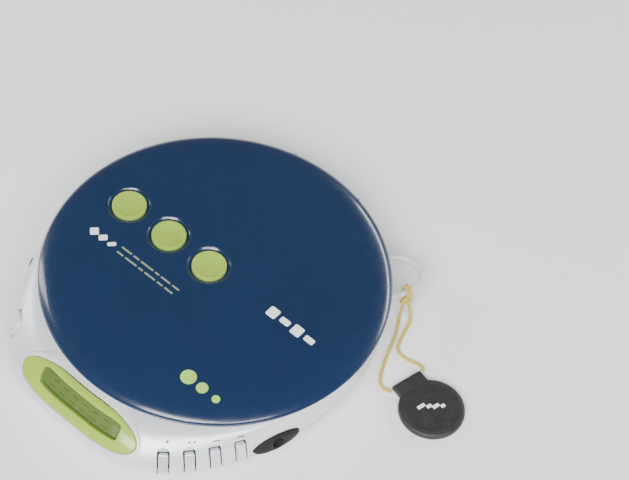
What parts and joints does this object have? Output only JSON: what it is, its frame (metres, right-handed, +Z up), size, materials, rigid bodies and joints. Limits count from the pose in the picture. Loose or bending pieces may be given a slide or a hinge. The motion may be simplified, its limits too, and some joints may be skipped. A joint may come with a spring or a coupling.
{
  "type": "portable CD player",
  "caption": "Round portable disc player with a hinged lid, lid buttons, side keys, a front display and a corded wrist tag.",
  "frame": {"origin": "middle of the player's footprint, on the surface it stands on, without the strap", "axes": "+Z up, -Y towards the display, +X to the right seen from the display"},
  "size_m": [0.1727, 0.1504, 0.0293],
  "materials": {
    "silver_case": "pearl silver, satin",
    "blue_lid": "navy, high gloss",
    "lime_button": "lime, satin",
    "lime_bezel": "lime, semi-gloss",
    "display_window": "tinted clear, gloss",
    "display_panel": "dark green liquid crystal panel",
    "black_rubber": "matt black",
    "steel": "plated",
    "circuit_board": "green solder mask",
    "black_plastic": "matt black",
    "grey_plastic": "matt grey",
    "lens": "coated lens and its ring",
    "milky_plastic": "milky translucent",
    "yellow_cord": "olive yellow twisted cord",
    "black_leather": "black soft disc"
  },
  "bodies": {
    "case": {"bottom_shell": "silver_case", "upper_case": "silver_case", "foot_1": "black_rubber", "foot_2": "black_rubber", "foot_3": "black_rubber", "foot_4": "black_rubber", "case_screw_1": "steel", "case_screw_2": "steel", "case_screw_3": "steel", "case_screw_4": "steel", "battery_tray": "grey_plastic", "bay_contact_1": "steel", "bay_contact_2": "steel", "bay_spring_1": "steel", "bay_spring_2": "steel", "main_board": "circuit_board", "key_switch_board": "circuit_board", "headphone_jack": "steel", "jack_grommet": "black_rubber", "lcd_bezel": "lime_bezel", "lcd_window": "display_window", "lcd_panel": "display_panel", "mech_chassis": "steel", "mech_damper_1": "black_rubber", "mech_damper_2": "black_rubber", "mech_damper_3": "black_rubber", "chassis_screw_1": "steel", "chassis_screw_2": "steel", "chassis_screw_3": "steel", "spindle_motor": "steel", "guide_rod": "steel", "sled_motor": "steel", "hinge_pin_1": "steel", "hinge_pin_2": "steel", "strap_lug": "milky_plastic", "strap_knot": "yellow_cord", "strap_cord_a": "yellow_cord", "strap_cord_b": "yellow_cord", "strap_tag": "black_leather"},
    "lid": {"lid_shell": "blue_lid", "lid_liner": "grey_plastic", "lid_board": "circuit_board"},
    "button_1": {"lid_button_1": "lime_button"},
    "button_2": {"lid_button_2": "lime_button"},
    "button_3": {"lid_button_3": "lime_button"},
    "key_1": {"side_key_1": "silver_case"},
    "key_2": {"side_key_2": "silver_case"},
    "key_3": {"side_key_3": "silver_case"},
    "key_4": {"side_key_4": "silver_case"},
    "release": {"open_button": "silver_case"},
    "hold": {"hold_knob": "grey_plastic"},
    "rotor": {"turntable": "black_plastic", "spindle_shaft": "steel", "chuck_ball_1": "steel", "chuck_ball_2": "steel", "chuck_ball_3": "steel"},
    "sled": {"pickup_sled": "black_plastic", "pickup_lens": "lens"},
    "screw": {"lead_screw": "steel"},
    "door": {"battery_door": "silver_case"}
  },
  "joints": [
    {"name": "lid_hinge", "type": "hinge", "parent": "case", "child": "lid", "pos_m": [0, 0.0726, 0.0218], "axis": [-1, 0, 0], "range_deg": [0, 75]},
    {"name": "lid_button_1_press", "type": "slide", "parent": "lid", "child": "button_1", "axis": [0, 0, -1], "range_m": [0, 0.0007], "stiffness_N_per_m": 900, "springref_m": -0.0005},
    {"name": "lid_button_2_press", "type": "slide", "parent": "lid", "child": "button_2", "axis": [0, 0, -1], "range_m": [0, 0.0007], "stiffness_N_per_m": 900, "springref_m": -0.0005},
    {"name": "lid_button_3_press", "type": "slide", "parent": "lid", "child": "button_3", "axis": [0, 0, -1], "range_m": [0, 0.0007], "stiffness_N_per_m": 900, "springref_m": -0.0005},
    {"name": "side_key_1_press", "type": "slide", "parent": "case", "child": "key_1", "axis": [-0.5545, 0.6186, -0.5566], "range_m": [0, 0.0006], "stiffness_N_per_m": 900, "springref_m": -0.0005},
    {"name": "side_key_2_press", "type": "slide", "parent": "case", "child": "key_2", "axis": [-0.6663, 0.5663, -0.4851], "range_m": [0, 0.0006], "stiffness_N_per_m": 900, "springref_m": -0.0005},
    {"name": "side_key_3_press", "type": "slide", "parent": "case", "child": "key_3", "axis": [-0.7636, 0.5015, -0.4067], "range_m": [0, 0.0006], "stiffness_N_per_m": 900, "springref_m": -0.0005},
    {"name": "side_key_4_press", "type": "slide", "parent": "case", "child": "key_4", "axis": [-0.8355, 0.4453, -0.3219], "range_m": [0, 0.0006], "stiffness_N_per_m": 900, "springref_m": -0.0005},
    {"name": "release_press", "type": "slide", "parent": "case", "child": "release", "axis": [0.647, 0.5676, -0.5091], "range_m": [0, 0.0008], "stiffness_N_per_m": 900, "springref_m": -0.0005},
    {"name": "hold_slide", "type": "slide", "parent": "case", "child": "hold", "axis": [0.4044, -0.9146, 0], "range_m": [0, 0.0037]},
    {"name": "turntable_spin", "type": "hinge", "parent": "case", "child": "rotor", "pos_m": [0, 0.0072, 0.02], "axis": [0, 0, 1], "continuous": true},
    {"name": "sled_travel", "type": "slide", "parent": "case", "child": "sled", "axis": [0, -1, 0], "range_m": [0, 0.033]},
    {"name": "lead_screw_spin", "type": "hinge", "parent": "case", "child": "screw", "pos_m": [0.015, -0.0328, 0.0114], "axis": [0, -1, 0], "continuous": true},
    {"name": "battery_door_hinge", "type": "hinge", "parent": "case", "child": "door", "pos_m": [0, 0.05625, 0.0015], "axis": [1, 0, 0], "range_deg": [0, 95]}
  ],
  "couplings": [
    {"joint": "lead_screw_spin", "follows": "sled_travel", "rad_per_m": 2094.4}
  ]
}
